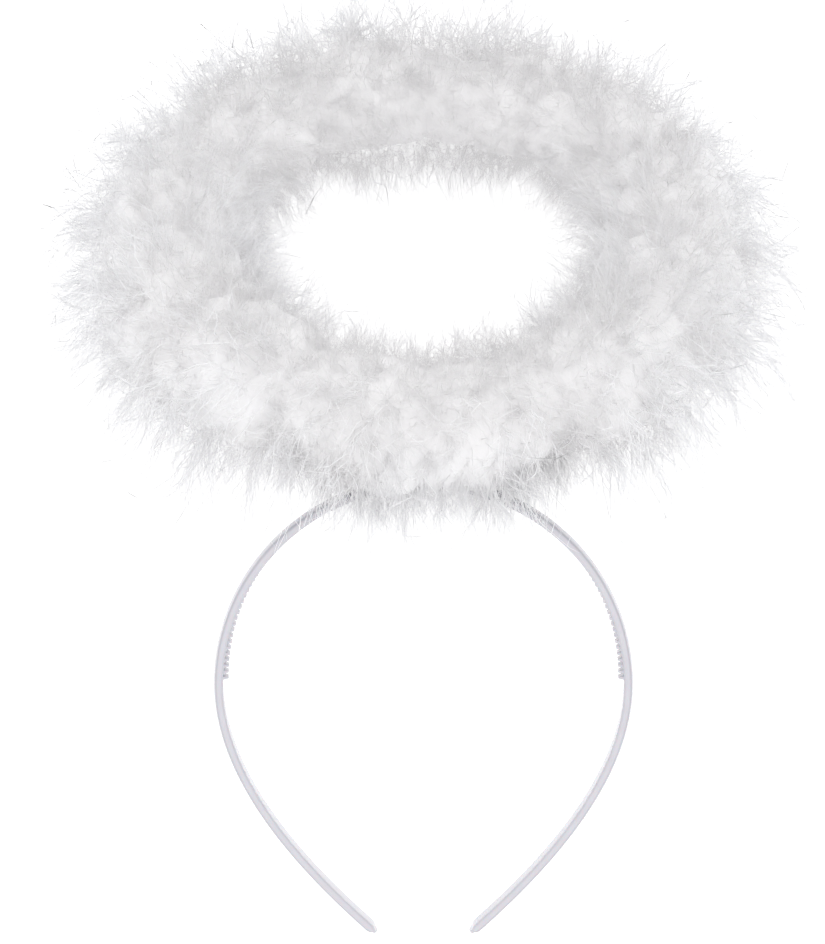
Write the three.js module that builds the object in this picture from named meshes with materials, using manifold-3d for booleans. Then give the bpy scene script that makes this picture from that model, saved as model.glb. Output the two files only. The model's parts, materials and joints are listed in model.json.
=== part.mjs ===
// Halo headband: a ring of white marabou feathers on a wire, carried above a toothed plastic alice band.
// Millimetres, +Z up. The pieces are shaped as they are worn, with the crown's top at the origin, +X to the
// wearer's side and +Y to the back. The whole is then laid down as it rests by itself, on the band's tips
// and the feathers of the halo's far edge.
import * as THREE from 'three';
import { mergeVertices } from 'three/addons/utils/BufferGeometryUtils.js';
import Module from 'manifold-3d';

const wasm = await Module();
wasm.setup();

const DEGREE = Math.PI / 180;
const CLEARANCE = 0.3;

// Band: a hoop open below, half an ellipse above its widest level, then an arm each side that draws in and
// straightens towards its tip. ARM_TURN is the turn that the arm nears, and ARM_EASE how soon it does.
const BAND_WIDTH = 128;
const CROWN_RISE = 64.5;
const ARM_TURN = 55.6 * DEGREE;
const ARM_EASE = 48.5;
const ARM_LENGTH = 95.5;
const BAND_THICKNESS = 2.9;
const BAND_DEPTH = 8;
const OUTER_SWELL = 0.45;
const EDGE_RADIUS = 0.7;
const TIP_RADIUS = 3;
const TIP_TURNS = [30, 60, 90];
const SEAT_LENGTH = 6;
const BAND_STEP = 6.5;
const ARM_STRIDE = 0.5;
const RIDGE_SHARE = 0.4; // of the band's depth, where its outer face is highest
const ROUND_SHARE = 0.4; // of the band's depth, the most that a tip may be rounded

// Teeth: a comb on the inner face of each side, highest at its lower end
const TOOTH_COUNT = 20;
const TOOTH_PITCH = 1.9;
const TOOTH_START = 2.5;
const TOOTH_HEIGHT = 1.7;
const TOOTH_LEAST_HEIGHT = 0.25;
const TOOTH_ROOT = 1.2;
const TOOTH_TIP = 0.5;
const TOOTH_DEPTH = 5.6;
const TOOTH_SINK = 0.5;

// Halo wire: a ring that rises to the back from two legs, each tied round the crown of the band
const HALO_RADIUS = 78;
const HALO_RISE = 26 * DEGREE;
const LEG_HEIGHT = 19.5;
const LEG_SPACING = 11;
const WIRE_DIAMETER = 1.6;
const WIRE_SIDES = 6;
const WIRE_STEPS_PER_BUNCH = 3;

// Feathers: bunches side by side round the wire, each a core with locks
const CORE_OUT = 21;
const CORE_UP = 15;
const CORE_NECK = 0.16; // how much thinner it is at its ends than in its middle, as a share
const CORE_OVERRUN = 1.05; // its length before it is cut to its sector, in sectors
const CORE_SIDES = 8;
const CORE_STEPS = 4;
const LOCK_REACH = 38;
const LOCK_WIDTH = 17;
const LOCK_THICKNESS = 8;

// Each bunch in turn from the near right to the near left: swell is a share of the sizes above, and twist
// turns its fan of locks about the wire, in degrees
const PUFFS = [
  { swell: 0.8, twist: 0 },
  { swell: 0.96, twist: 9 },
  { swell: 1.03, twist: -6 },
  { swell: 1.0, twist: 8 },
  { swell: 0.9, twist: -5 },
  { swell: 1.0, twist: 4 },
  { swell: 1.0, twist: 4 },
  { swell: 1.06, twist: 7 },
  { swell: 1.0, twist: 8 },
  { swell: 1.03, twist: -6 },
  { swell: 1.07, twist: -9 },
  { swell: 0.84, twist: 6 },
];

// The locks of a bunch. around: degrees about the wire, 0 outwards and 90 up. place and lean: shares of the
// bunch's sector, at the root and gained by the tip. reach: a share of LOCK_REACH. curl: degrees turned.
const LOCKS = [
  { around: -4, place: -0.27, reach: 1.0, curl: -22, lean: -0.1 },
  { around: 12, place: 0.25, reach: 0.94, curl: 14, lean: 0.12 },
  { around: 46, place: -0.02, reach: 0.9, curl: -18, lean: 0.1 },
  { around: 84, place: -0.28, reach: 0.74, curl: -24, lean: -0.08 },
  { around: 92, place: 0.27, reach: 0.78, curl: 20, lean: 0.08 },
  { around: 140, place: 0.0, reach: 0.74, curl: -14, lean: -0.06 },
  { around: 188, place: -0.24, reach: 0.78, curl: 24, lean: 0.04 },
  { around: 204, place: 0.24, reach: 0.72, curl: -20, lean: -0.04 },
  { around: 254, place: 0.02, reach: 0.76, curl: 18, lean: 0.06 },
  { around: 288, place: 0.24, reach: 0.7, curl: 18, lean: 0.08 },
  { around: 314, place: -0.24, reach: 0.98, curl: -16, lean: -0.1 },
];

// Sections along a lock: at is a share of its length, width a share of its width and thickness
const LOCK_SECTIONS = [
  { at: 0, width: 0.7 },
  { at: 0.38, width: 1 },
  { at: 0.74, width: 0.6 },
  { at: 1, width: 0.05 },
];

// The tilts between which the resting one is looked for
const FLATTEST = -85 * DEGREE;
const STEEPEST = -20 * DEGREE;
const HALVINGS = 60;

const SECTOR = (2 * Math.PI) / PUFFS.length;
const WIRE_RADIUS = WIRE_DIAMETER / 2;

const PLASTIC = { color: 0xe6e6ea, roughness: 0.28, metalness: 0 };
const LACQUER = { color: 0xe2e2e6, roughness: 0.3, metalness: 0 };
const FEATHER = { color: 0xf2f1f3, roughness: 0.9, metalness: 0 };

// A solid from points and faces, turned to face outwards
function solid(points, faces) {
  let volume = 0;
  for (let f = 0; f < faces.length; f += 3) {
    const [a, b, c] = [0, 1, 2].map((corner) => points[faces[f + corner]]);
    volume += a.dot(new THREE.Vector3().crossVectors(b, c));
  }
  return new wasm.Manifold(new wasm.Mesh({
    numProp: 3,
    vertProperties: new Float32Array(points.flatMap((p) => [p.x, p.y, p.z])),
    triVerts: new Uint32Array(volume > 0 ? faces : faces.slice().reverse()),
  }));
}

// A solid skinned over rings of points, with flat ends, or joined end to end when it is a loop
function loft(rings, loop = false) {
  const count = rings[0].length;
  const faces = [];
  const spans = loop ? rings.length : rings.length - 1;
  for (let r = 0; r < spans; r += 1) {
    const next = ((r + 1) % rings.length) * count;
    for (let i = 0; i < count; i += 1) {
      const j = (i + 1) % count;
      faces.push(r * count + i, r * count + j, next + j, r * count + i, next + j, next + i);
    }
  }
  if (!loop) {
    const last = spans * count;
    for (let i = 1; i + 1 < count; i += 1) {
      faces.push(0, i + 1, i, last, last + i, last + i + 1);
    }
  }
  return solid(rings.flat(), faces);
}

function join(solids) {
  return solids.reduce((whole, next) => whole.add(next));
}

// The biggest body of a cut solid, without the crumbs that the cut leaves
function mainBody(cut) {
  return cut.decompose().reduce((best, next) => (next.volume() > best.volume() ? next : best));
}

// A place on the band's outer face above its widest level, by the angle from the crown
function crownStation(angle) {
  const normal = new THREE.Vector2(Math.sin(angle) / (BAND_WIDTH / 2), Math.cos(angle) / CROWN_RISE);
  return {
    x: (BAND_WIDTH / 2) * Math.sin(angle),
    z: -CROWN_RISE * (1 - Math.cos(angle)),
    normal: normal.normalize(),
    inset: 0,
  };
}

// A place on the right arm's outer face, by its distance along it from the band's widest level
function armStation(along) {
  const strides = Math.max(1, Math.ceil(along / ARM_STRIDE));
  let [x, z] = [BAND_WIDTH / 2, -CROWN_RISE];
  const turnAt = (at) => ARM_TURN * (1 - Math.exp(-at / ARM_EASE));
  for (let i = 0; i < strides; i += 1) {
    const turn = turnAt((along * (i + 0.5)) / strides);
    x -= (along / strides) * Math.sin(turn);
    z -= (along / strides) * Math.cos(turn);
  }
  return { x, z, normal: new THREE.Vector2(Math.cos(turnAt(along)), -Math.sin(turnAt(along))) };
}

// Places on the outer face of the right half, from the seat at the crown to the tip
function halfOutline() {
  const half = BAND_WIDTH / 2;
  const seat = Math.asin(SEAT_LENGTH / BAND_WIDTH);
  const crownSteps = Math.ceil(((Math.PI / 2) * Math.max(half, CROWN_RISE)) / BAND_STEP);
  const stations = [];
  for (let i = 0; i <= crownSteps; i += 1) {
    stations.push(crownStation(seat + (Math.PI / 2 - seat) * (i / crownSteps)));
  }
  const round = Math.min(TIP_RADIUS, ROUND_SHARE * BAND_DEPTH);
  const straight = ARM_LENGTH - round;
  const armSteps = Math.ceil(straight / BAND_STEP);
  for (let i = 1; i <= armSteps; i += 1) {
    stations.push({ ...armStation(straight * (i / armSteps)), inset: 0 });
  }
  for (const turn of TIP_TURNS) {
    stations.push({
      ...armStation(straight + round * Math.sin(turn * DEGREE)),
      inset: round * (1 - Math.cos(turn * DEGREE)),
    });
  }
  return stations;
}

// The band's section at a station: a flat inner face, rounded edges and a slightly swollen outer face
function bandSection({ x, z, normal, inset }, grow) {
  const thin = Math.min(inset, BAND_THICKNESS / 4);
  const inner = -BAND_THICKNESS - grow + thin;
  const outer = grow - thin;
  const side = BAND_DEPTH / 2 + grow - inset;
  const edge = Math.min(EDGE_RADIUS, (outer - inner) / 4, side / 2);
  const half = [
    [inner, side - edge],
    [inner + edge, side],
    [outer - OUTER_SWELL / 2 - edge, side],
    [outer - OUTER_SWELL / 2, side - edge],
    [outer, side * RIDGE_SHARE],
  ];
  const mirrored = half.slice().reverse().map(([out, y]) => [out, -y]);
  return [...half, ...mirrored].map(
    ([out, y]) => new THREE.Vector3(x + out * normal.x, y, z + out * normal.y),
  );
}

function bandShell(grow) {
  const right = halfOutline();
  const left = right.slice().reverse().map((station) => ({
    ...station,
    x: -station.x,
    normal: new THREE.Vector2(-station.normal.x, station.normal.y),
  }));
  return loft([...left, ...right].map((station) => bandSection(station, grow)));
}

// One tooth: a wedge across the inner face, its root sunk in the band
function tooth(angle, height, side) {
  const { x, z, normal } = crownStation(angle);
  const rings = [
    { out: TOOTH_SINK - BAND_THICKNESS, long: TOOTH_ROOT / 2, deep: TOOTH_DEPTH / 2 },
    { out: -BAND_THICKNESS - height, long: TOOTH_TIP / 2, deep: TOOTH_DEPTH / 2 - height / 2 },
  ].map(({ out, long, deep }) => [[-1, -1], [1, -1], [1, 1], [-1, 1]].map(([a, b]) => new THREE.Vector3(
    side * (x + out * normal.x + a * long * normal.y),
    b * deep,
    z + out * normal.y - a * long * normal.x,
  )));
  return loft(rings);
}

function teeth() {
  const made = [];
  const pace = (angle) => Math.hypot(
    (BAND_WIDTH / 2) * Math.cos(angle),
    CROWN_RISE * Math.sin(angle),
  ) - BAND_THICKNESS;
  let angle = Math.PI / 2 - TOOTH_START / pace(Math.PI / 2);
  for (let i = 0; i < TOOTH_COUNT; i += 1) {
    const fade = i / Math.max(TOOTH_COUNT - 1, 1);
    const height = THREE.MathUtils.lerp(TOOTH_HEIGHT, TOOTH_LEAST_HEIGHT, fade);
    made.push(tooth(angle, height, 1), tooth(angle, height, -1));
    angle -= TOOTH_PITCH / pace(angle);
  }
  return made;
}

// The halo's own frame: its ring in the XY plane, its near point towards -Y
const toWorn = new THREE.Matrix4().makeRotationX(HALO_RISE);
toWorn.setPosition(
  0,
  HALO_RADIUS * Math.cos(HALO_RISE),
  LEG_HEIGHT + HALO_RADIUS * Math.sin(HALO_RISE),
);

// A point by its angle round the halo from the near point, and its place out from the wire and above it
function haloPoint(turn, out, up, side = 1) {
  const far = HALO_RADIUS + out;
  return new THREE.Vector3(side * far * Math.sin(turn), -far * Math.cos(turn), up).applyMatrix4(toWorn);
}

function circle(radius, sides) {
  return Array.from({ length: sides }, (_, i) => {
    const angle = (2 * Math.PI * i) / sides;
    return [radius * Math.cos(angle), radius * Math.sin(angle)];
  });
}

// A wrap of wire round the crown: a rectangle with mitred corners, square to the band
function wrap(side, radius) {
  const { x, z, normal } = crownStation(Math.asin(LEG_SPACING / BAND_WIDTH));
  const gap = CLEARANCE + WIRE_RADIUS;
  const corners = [[1, 1], [1, -1], [-1, -1], [-1, 1]];
  const rings = corners.map(([up, back]) => circle(radius, WIRE_SIDES).map(([away, along]) => {
    const out = (up > 0 ? gap : -BAND_THICKNESS - gap) + up * away;
    return new THREE.Vector3(
      side * (x + out * normal.x + along * normal.y),
      back * (BAND_DEPTH / 2 + gap + away),
      z + out * normal.y - along * normal.x,
    );
  }));
  return loft(rings, true);
}

// A leg of wire from the top of a wrap up to the ring
function leg(side, radius) {
  const { x, z, normal } = crownStation(Math.asin(LEG_SPACING / BAND_WIDTH));
  const gap = CLEARANCE + WIRE_RADIUS;
  const foot = new THREE.Vector3(side * (x + gap * normal.x), 0, z + gap * normal.y);
  const head = haloPoint(Math.asin(x / HALO_RADIUS), 0, 0, side);
  return loft([foot, head].map((end) => circle(radius, WIRE_SIDES).map(
    ([a, b]) => new THREE.Vector3(end.x + a, end.y + b, end.z),
  )));
}

function haloWire(grow) {
  const radius = WIRE_RADIUS + grow;
  const steps = PUFFS.length * WIRE_STEPS_PER_BUNCH;
  const rings = Array.from({ length: steps }, (_, i) => circle(radius, WIRE_SIDES).map(
    ([out, up]) => haloPoint((2 * Math.PI * i) / steps, out, up),
  ));
  const sides = [1, -1];
  return join([
    loft(rings, true),
    ...sides.map((side) => wrap(side, radius)),
    ...sides.map((side) => leg(side, radius)),
  ]);
}

// The body of a bunch: thickest in its middle, drawn in where it meets the next one
function core({ turn, side, swell }) {
  const rings = Array.from({ length: CORE_STEPS + 1 }, (_, i) => {
    const place = i / CORE_STEPS - 0.5;
    const size = swell * (1 - CORE_NECK * (2 * place) ** 2);
    return circle(1, CORE_SIDES).map(([out, up]) => haloPoint(
      turn + place * SECTOR * CORE_OVERRUN,
      out * CORE_OUT * size,
      up * CORE_UP * size,
      side,
    ));
  });
  return loft(rings);
}

// One lock: a flat tapering tongue that leaves the core, curls and leans along the ring
function lock({ turn, side, swell, twist }, row) {
  const root = CORE_UP / 2;
  const length = LOCK_REACH * row.reach * swell - root;
  const bend = (at) => (row.around + twist + row.curl * at) * DEGREE;
  let out = root * Math.cos(bend(0));
  let up = root * Math.sin(bend(0));
  let before = 0;
  const rings = LOCK_SECTIONS.map(({ at, width }) => {
    const middle = bend((before + at) / 2);
    out += (at - before) * length * Math.cos(middle);
    up += (at - before) * length * Math.sin(middle);
    before = at;
    const place = turn + SECTOR * (row.place + row.lean * at);
    const aside = (width * LOCK_WIDTH * swell) / 2 / HALO_RADIUS;
    const thick = (width * LOCK_THICKNESS * swell) / 2;
    const [across, over] = [-Math.sin(bend(at)) * thick, Math.cos(bend(at)) * thick];
    return [
      haloPoint(place + aside, out, up, side),
      haloPoint(place, out + across, up + over, side),
      haloPoint(place - aside, out, up, side),
      haloPoint(place, out - across, up - over, side),
    ];
  });
  return loft(rings);
}

// The sector of the halo that a bunch may fill, half a clearance short of its neighbours
function sector({ turn, side, swell }) {
  const inset = CLEARANCE / 2 / Math.sin(SECTOR / 2);
  const far = 2 * (HALO_RADIUS + LOCK_REACH * swell);
  const high = 2 * LOCK_REACH * swell;
  const triangle = (up) => [[0, 0], [far, -1], [far, 1]].map(([long, hand]) => {
    const angle = turn + (hand * SECTOR) / 2;
    return new THREE.Vector3(
      side * (inset * Math.sin(turn) + long * Math.sin(angle)),
      -(inset * Math.cos(turn) + long * Math.cos(angle)),
      up,
    ).applyMatrix4(toWorn);
  });
  return loft([triangle(-high), triangle(high)]);
}

// What the feathers are parted round: the wire and the band, each with its clearance
const parting = haloWire(CLEARANCE).add(bandShell(CLEARANCE));

function featherBunch(puff, index) {
  const side = index < PUFFS.length / 2 ? 1 : -1;
  const step = side > 0 ? index : PUFFS.length - 1 - index;
  const bunch = { ...puff, side, turn: (step + 0.5) * SECTOR };
  const feathers = join([core(bunch), ...LOCKS.map((row) => lock(bunch, row))]);
  return mainBody(feathers.intersect(sector(bunch)).subtract(parting));
}

function named(name, body, finish) {
  const { vertProperties, triVerts } = body.getMesh();
  const geometry = new THREE.BufferGeometry();
  geometry.setAttribute('position', new THREE.BufferAttribute(vertProperties, 3));
  geometry.setIndex(new THREE.BufferAttribute(triVerts, 1));
  const mesh = new THREE.Mesh(mergeVertices(geometry), new THREE.MeshStandardMaterial(finish));
  mesh.name = name;
  return mesh;
}

const headband = named('headband', join([bandShell(0), ...teeth()]), PLASTIC);
const wire = named('halo_wire', haloWire(0), LACQUER);
const bunches = PUFFS.map((puff, index) => named(
  `feather_bunch_${String(index + 1).padStart(2, '0')}`,
  featherBunch(puff, index),
  FEATHER,
));

// The lowest point of some meshes once the worn thing is tilted about X
function lowest(meshes, tilt) {
  let low = Infinity;
  for (const { geometry } of meshes) {
    const { array } = geometry.attributes.position;
    for (let i = 0; i < array.length; i += 3) {
      low = Math.min(low, array[i + 1] * Math.sin(tilt) + array[i + 2] * Math.cos(tilt));
    }
  }
  return low;
}

// The tilt at which the band's tips and the far feathers touch the floor together, found by halving
function restTilt() {
  let [flatter, steeper] = [FLATTEST, STEEPEST];
  for (let i = 0; i < HALVINGS; i += 1) {
    const middle = (flatter + steeper) / 2;
    if (lowest([headband], middle) > lowest(bunches, middle)) {
      flatter = middle;
    } else {
      steeper = middle;
    }
  }
  return (flatter + steeper) / 2;
}

const worn = new THREE.Group();
worn.add(headband, wire, ...bunches);
worn.rotation.x = restTilt();

const part = new THREE.Group();
part.add(worn);
part.updateMatrixWorld(true);
const box = new THREE.Box3().setFromObject(part, true);
const middle = box.getCenter(new THREE.Vector3());
worn.position.set(-middle.x, -middle.y, -box.min.z);
part.updateMatrixWorld(true);

export default part;
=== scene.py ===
# Halo headband: a ring of white marabou feathers on a wire, tied behind the crown of a white plastic alice
# band. The script follows the object as it is put together: the band and its teeth, the wire, then the
# feathers, a bunch at a time. Lengths are in metres, and MM turns millimetres into them.
import json
import math

import bpy
import numpy as np
from mathutils import Matrix, Vector, noise


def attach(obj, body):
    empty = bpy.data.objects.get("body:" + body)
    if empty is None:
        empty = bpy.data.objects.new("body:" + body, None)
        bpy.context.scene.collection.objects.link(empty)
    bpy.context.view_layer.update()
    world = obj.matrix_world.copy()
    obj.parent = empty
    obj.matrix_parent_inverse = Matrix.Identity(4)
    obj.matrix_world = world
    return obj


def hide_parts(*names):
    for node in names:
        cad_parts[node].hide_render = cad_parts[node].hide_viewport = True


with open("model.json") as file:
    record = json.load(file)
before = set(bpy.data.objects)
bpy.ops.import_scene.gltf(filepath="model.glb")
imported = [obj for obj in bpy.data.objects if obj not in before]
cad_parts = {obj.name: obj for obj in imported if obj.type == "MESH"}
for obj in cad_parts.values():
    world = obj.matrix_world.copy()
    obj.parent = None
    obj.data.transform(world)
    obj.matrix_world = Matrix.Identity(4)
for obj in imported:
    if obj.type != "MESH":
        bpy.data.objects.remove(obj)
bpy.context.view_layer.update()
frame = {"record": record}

# How the headband lies. It was shaped as it is worn and then laid down, so the places below are given as
# worn, from the top of the crown: across, to the back and up. The seat under the crown, in the record, gives
# that place and the way down to the floor.
MM = 0.001
BAND_THICKNESS = 2.9 * MM

seat = next(mount for mount in frame["record"]["mounts"] if mount["name"] == "head_seat")
up = -Vector(seat["axis"]).normalized()
across = Vector((1, 0, 0))
back = up.cross(across)
crown = Vector(seat["pos_m"]) + BAND_THICKNESS * up
AS_WORN = Matrix.Translation(crown) @ Matrix((across, back, up)).transposed().to_4x4()


# Camera. A long lens in front of the worn band and a little above it, which is above the floor here.
LENS_ABOVE_BAND = math.radians(12)
CAMERA_DISTANCE = 2.0
PHOTO_HEIGHT = 944  # pixels
PHOTO_SCALE = 3.3  # pixels to the millimetre
PICTURE_HEIGHT = PHOTO_HEIGHT / PHOTO_SCALE * MM
PICTURE_CENTRE = Vector((-3.35, 0, 1.7)) * MM
SENSOR = 36 * MM

towards_lens = AS_WORN.to_3x3() @ Vector((0, -math.cos(LENS_ABOVE_BAND), math.sin(LENS_ABOVE_BAND)))
camera = bpy.data.objects.new("camera", bpy.data.cameras.new("camera"))
bpy.context.scene.collection.objects.link(camera)
camera.location = AS_WORN @ PICTURE_CENTRE + CAMERA_DISTANCE * towards_lens
camera.rotation_euler = (-towards_lens).to_track_quat("-Z", "Y").to_euler()
camera.data.sensor_width = SENSOR / MM
camera.data.lens = SENSOR / PICTURE_HEIGHT * CAMERA_DISTANCE / MM
bpy.context.scene.camera = camera


# Floor and light. A sheet of white acrylic lit from below, as for pictures on pure white, in a white room.
# The light comes from all round, so white feathers stay soft, with one large lamp to the upper left for form.
FLOOR_SIZE = 6.0
FLOOR_WHITE = "#cfcfcf"
FLOOR_GLOW = 0.6
LAMP_SIZE = 0.9
LAMP_WATTS = 1.2
LAMP_PLACE = Vector((-0.12, -0.15, 1.4))
ROOM_LIGHT = 1.14


def add(tree, kind, inputs=None, **settings):
    """A new node with its settings, and its inputs set or linked."""
    node = tree.nodes.new(kind)
    for name, value in settings.items():
        setattr(node, name, value)
    for socket, value in (inputs or {}).items():
        if isinstance(value, bpy.types.NodeSocket):
            tree.links.new(value, node.inputs[socket])
        else:
            node.inputs[socket].default_value = value
    return node


def linear(hex_colour):
    """The linear colour that a shader takes, from an sRGB hex value."""
    srgb = [int(hex_colour[i : i + 2], 16) / 255 for i in (1, 3, 5)]
    return [c / 12.92 if c <= 0.04045 else ((c + 0.055) / 1.055) ** 2.4 for c in srgb] + [1.0]


def new_material(name):
    """A material whose nodes are still to be added."""
    material = bpy.data.materials.new(name)
    material.use_nodes = True
    material.node_tree.nodes.clear()
    return material


acrylic = new_material("lit white acrylic floor")
surface = add(acrylic.node_tree, "ShaderNodeBsdfPrincipled", {
    "Base Color": linear(FLOOR_WHITE), "Roughness": 0.9, "Specular IOR Level": 0.1,
    "Emission Color": (1, 1, 1, 1), "Emission Strength": FLOOR_GLOW,
})
add(acrylic.node_tree, "ShaderNodeOutputMaterial", {"Surface": surface.outputs[0]})
half = FLOOR_SIZE / 2
corners = [(-half, -half, 0), (half, -half, 0), (half, half, 0), (-half, half, 0)]
floor_mesh = bpy.data.meshes.new("floor")
floor_mesh.from_pydata(corners, [], [(0, 1, 2, 3)])
floor_mesh.materials.append(acrylic)
floor = bpy.data.objects.new("floor", floor_mesh)
bpy.context.scene.collection.objects.link(floor)

lamp = bpy.data.objects.new("soft lamp", bpy.data.lights.new("soft lamp", "AREA"))
bpy.context.scene.collection.objects.link(lamp)
lamp.data.size = LAMP_SIZE
lamp.data.energy = LAMP_WATTS
lamp.location = LAMP_PLACE
lamp.rotation_euler = (-LAMP_PLACE).to_track_quat("-Z", "Y").to_euler()

world = bpy.data.worlds.new("white room")
world.use_nodes = True
world.node_tree.nodes["Background"].inputs["Color"].default_value = (1, 1, 1, 1)
world.node_tree.nodes["Background"].inputs["Strength"].default_value = ROOM_LIGHT
bpy.context.scene.world = world
bpy.context.scene.view_settings.view_transform = "Standard"


# Band. One injection-moulded strip of white polystyrene, sprung into a hoop that is open below. Its inner
# face is flat and its outer face slightly swollen, and its edges and tips are rounded by the mould.
BAND_WIDTH = 128 * MM
CROWN_RISE = 64.5 * MM
ARM_TURN = math.radians(55.6)
ARM_EASE = 48.5 * MM
ARM_LENGTH = 95.5 * MM
BAND_DEPTH = 8 * MM
OUTER_SWELL = 0.45 * MM
EDGE_RADIUS = 0.8 * MM
TIP_RADIUS = 3 * MM
BAND_STEP = 1.6 * MM
EDGE_STEPS = 4
FACE_STEPS = 6
TIP_STEPS = 8


def crown_station(angle):
    """A place on the outer face and its outward direction, by the angle from the top of the crown."""
    place = Vector((BAND_WIDTH / 2 * math.sin(angle), -CROWN_RISE * (1 - math.cos(angle))))
    outward = Vector((math.sin(angle) / (BAND_WIDTH / 2), math.cos(angle) / CROWN_RISE)).normalized()
    return place, outward, 0.0


def half_band():
    """Stations from the crown to the right tip: place, outward direction and how far the sides draw in.

    The crown is half an ellipse. Below it the arm turns inwards, quickly at first and then hardly at all.
    """
    steps = round(math.pi / 2 * CROWN_RISE / BAND_STEP)
    stations = [crown_station(math.pi / 2 * i / steps) for i in range(steps + 1)]
    full = ARM_LENGTH - TIP_RADIUS
    steps = round(full / BAND_STEP)
    spots = [(full * i / steps, 0.0) for i in range(1, steps + 1)]
    for i in range(1, TIP_STEPS + 1):
        turn = math.pi / 2 * i / TIP_STEPS
        spots.append((full + TIP_RADIUS * math.sin(turn), TIP_RADIUS * (1 - math.cos(turn))))
    place, before = stations[-1][0], 0.0
    for along, inset in spots:
        turn = ARM_TURN * (1 - math.exp(-(along + before) / 2 / ARM_EASE))
        place = place - (along - before) * Vector((math.sin(turn), math.cos(turn)))
        turn = ARM_TURN * (1 - math.exp(-along / ARM_EASE))
        stations.append((place, Vector((math.cos(turn), -math.sin(turn))), inset))
        before = along
    return stations


def band_section(place, outward, inset):
    """A ring of points round the band: flat inside, rounded edges, an arched outer face."""
    thin = min(inset, BAND_THICKNESS / 4)
    inner, outer, side = -BAND_THICKNESS + thin, -thin, BAND_DEPTH / 2 - inset
    edge = min(EDGE_RADIUS, (outer - inner - OUTER_SWELL) / 2, side / 2)
    ring = []
    for corner in range(2):
        middle = inner + edge if corner == 0 else outer - OUTER_SWELL - edge
        for i in range(EDGE_STEPS + 1):
            turn = math.pi / 2 * (i / EDGE_STEPS + corner) - math.pi / 2
            ring.append((middle + edge * math.sin(turn), side - edge + edge * math.cos(turn)))
    for i in range(1, FACE_STEPS):
        y = (side - edge) * (1 - 2 * i / FACE_STEPS)
        ring.append((outer - OUTER_SWELL * (y / (side - edge)) ** 2, y))
    ring += [(out, -y) for out, y in reversed(ring[: 2 * EDGE_STEPS + 2])]
    ring += [(inner, -(side - edge) * (1 - 2 * i / FACE_STEPS)) for i in range(1, FACE_STEPS)]
    return [AS_WORN @ Vector((place.x + out * outward.x, y, place.y + out * outward.y)) for out, y in ring]


def skin(rings):
    """Points and faces over rings of points, with both ends closed."""
    count = len(rings[0])
    faces = [
        (r * count + i, r * count + (i + 1) % count, (r + 1) * count + (i + 1) % count, (r + 1) * count + i)
        for r in range(len(rings) - 1)
        for i in range(count)
    ]
    faces.append(tuple(reversed(range(count))))
    faces.append(tuple(range((len(rings) - 1) * count, len(rings) * count)))
    return [point for ring in rings for point in ring], faces


def outward_mesh(name, points, faces, material):
    """A smooth-shaded mesh whose faces point outwards."""
    mesh = bpy.data.meshes.new(name)
    mesh.from_pydata(points, [], faces)
    corners = [mesh.vertices[i].co for face in mesh.polygons for i in face.vertices[:3]]
    volume = sum(a.dot(b.cross(c)) for a, b, c in zip(corners[::3], corners[1::3], corners[2::3]))
    if volume < 0:
        mesh.flip_normals()
    mesh.shade_smooth()
    mesh.materials.append(material)
    return mesh


# Polystyrene is hard and glossy, and white pigment makes it milky. Grey is painted along the thin rounded
# edges as painted shade, for the dark line that the light draws there. The mould leaves a faint ripple, too
# fine to see but for the way it breaks the highlights. The edge shades say how much painted shade the points
# of a rounded edge take, in order round the band, at the inner face and then at the outer.
PLASTIC_WHITE = "#cecdd4"
PLASTIC_SHADE = "#c5c4cb"
PLASTIC_EDGE_SHADE = "#acacb4"
OUTER_EDGE_SHADE = (0.0, 0.4, 0.9, 1.0, 0.8)
INNER_EDGE_SHADE = (0.3, 0.5, 0.4, 0.2, 0.0)
MOULD_RIPPLE = 5 * MM

polystyrene = new_material("moulded white polystyrene")
tree = polystyrene.node_tree
where = add(tree, "ShaderNodeTexCoord").outputs["Object"]
ripple = add(tree, "ShaderNodeTexNoise", {"Vector": where, "Scale": 1 / MOULD_RIPPLE, "Detail": 3.0})
milky = add(tree, "ShaderNodeMix", {
    0: ripple.outputs["Fac"], 6: linear(PLASTIC_SHADE), 7: linear(PLASTIC_WHITE),
}, data_type="RGBA")
# Painted shade: the edge attribute greys the band's rounded edges towards the edge shade colour
edge = add(tree, "ShaderNodeAttribute", attribute_name="edge")
tint = add(tree, "ShaderNodeMix", {
    0: edge.outputs["Fac"], 6: milky.outputs[2], 7: linear(PLASTIC_EDGE_SHADE),
}, data_type="RGBA")
bump = add(tree, "ShaderNodeBump", {"Height": ripple.outputs["Fac"], "Strength": 0.06, "Distance": 0.2 * MM})
surface = add(tree, "ShaderNodeBsdfPrincipled", {
    "Base Color": tint.outputs[2], "Roughness": 0.24, "IOR": 1.59, "Normal": bump.outputs[0],
    "Subsurface Weight": 0.15, "Subsurface Scale": 1.5 * MM,
})
add(tree, "ShaderNodeOutputMaterial", {"Surface": surface.outputs[0]})

right = half_band()
left = [
    (Vector((-place.x, place.y)), Vector((-out.x, out.y)), inset)
    for place, out, inset in reversed(right[1:])
]
band_rings = [band_section(*station) for station in left + right]
band_mesh = outward_mesh("headband", *skin(band_rings), polystyrene)

# Teeth. The comb inside each side, moulded with the band, which grips the hair. They stand 1.9 mm apart and
# are highest at the lower end, and every one is drawn to a blunt edge so that it leaves the mould.
TOOTH_COUNT = 20
TOOTH_PITCH = 1.9 * MM
TOOTH_START = 2.5 * MM
TOOTH_HEIGHT = 1.7 * MM
TOOTH_LEAST = 0.25 * MM
TOOTH_ROOT = 1.2 * MM
TOOTH_TIP = 0.45 * MM
TOOTH_DEPTH = 5.6 * MM
TOOTH_SINK = 0.5 * MM
TOOTH_BEVEL = 0.14 * MM


def inner_pace(angle):
    """How fast a place on the band's inner face moves with the angle from the top of the crown."""
    return math.hypot(BAND_WIDTH / 2 * math.cos(angle), CROWN_RISE * math.sin(angle)) - BAND_THICKNESS


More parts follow.
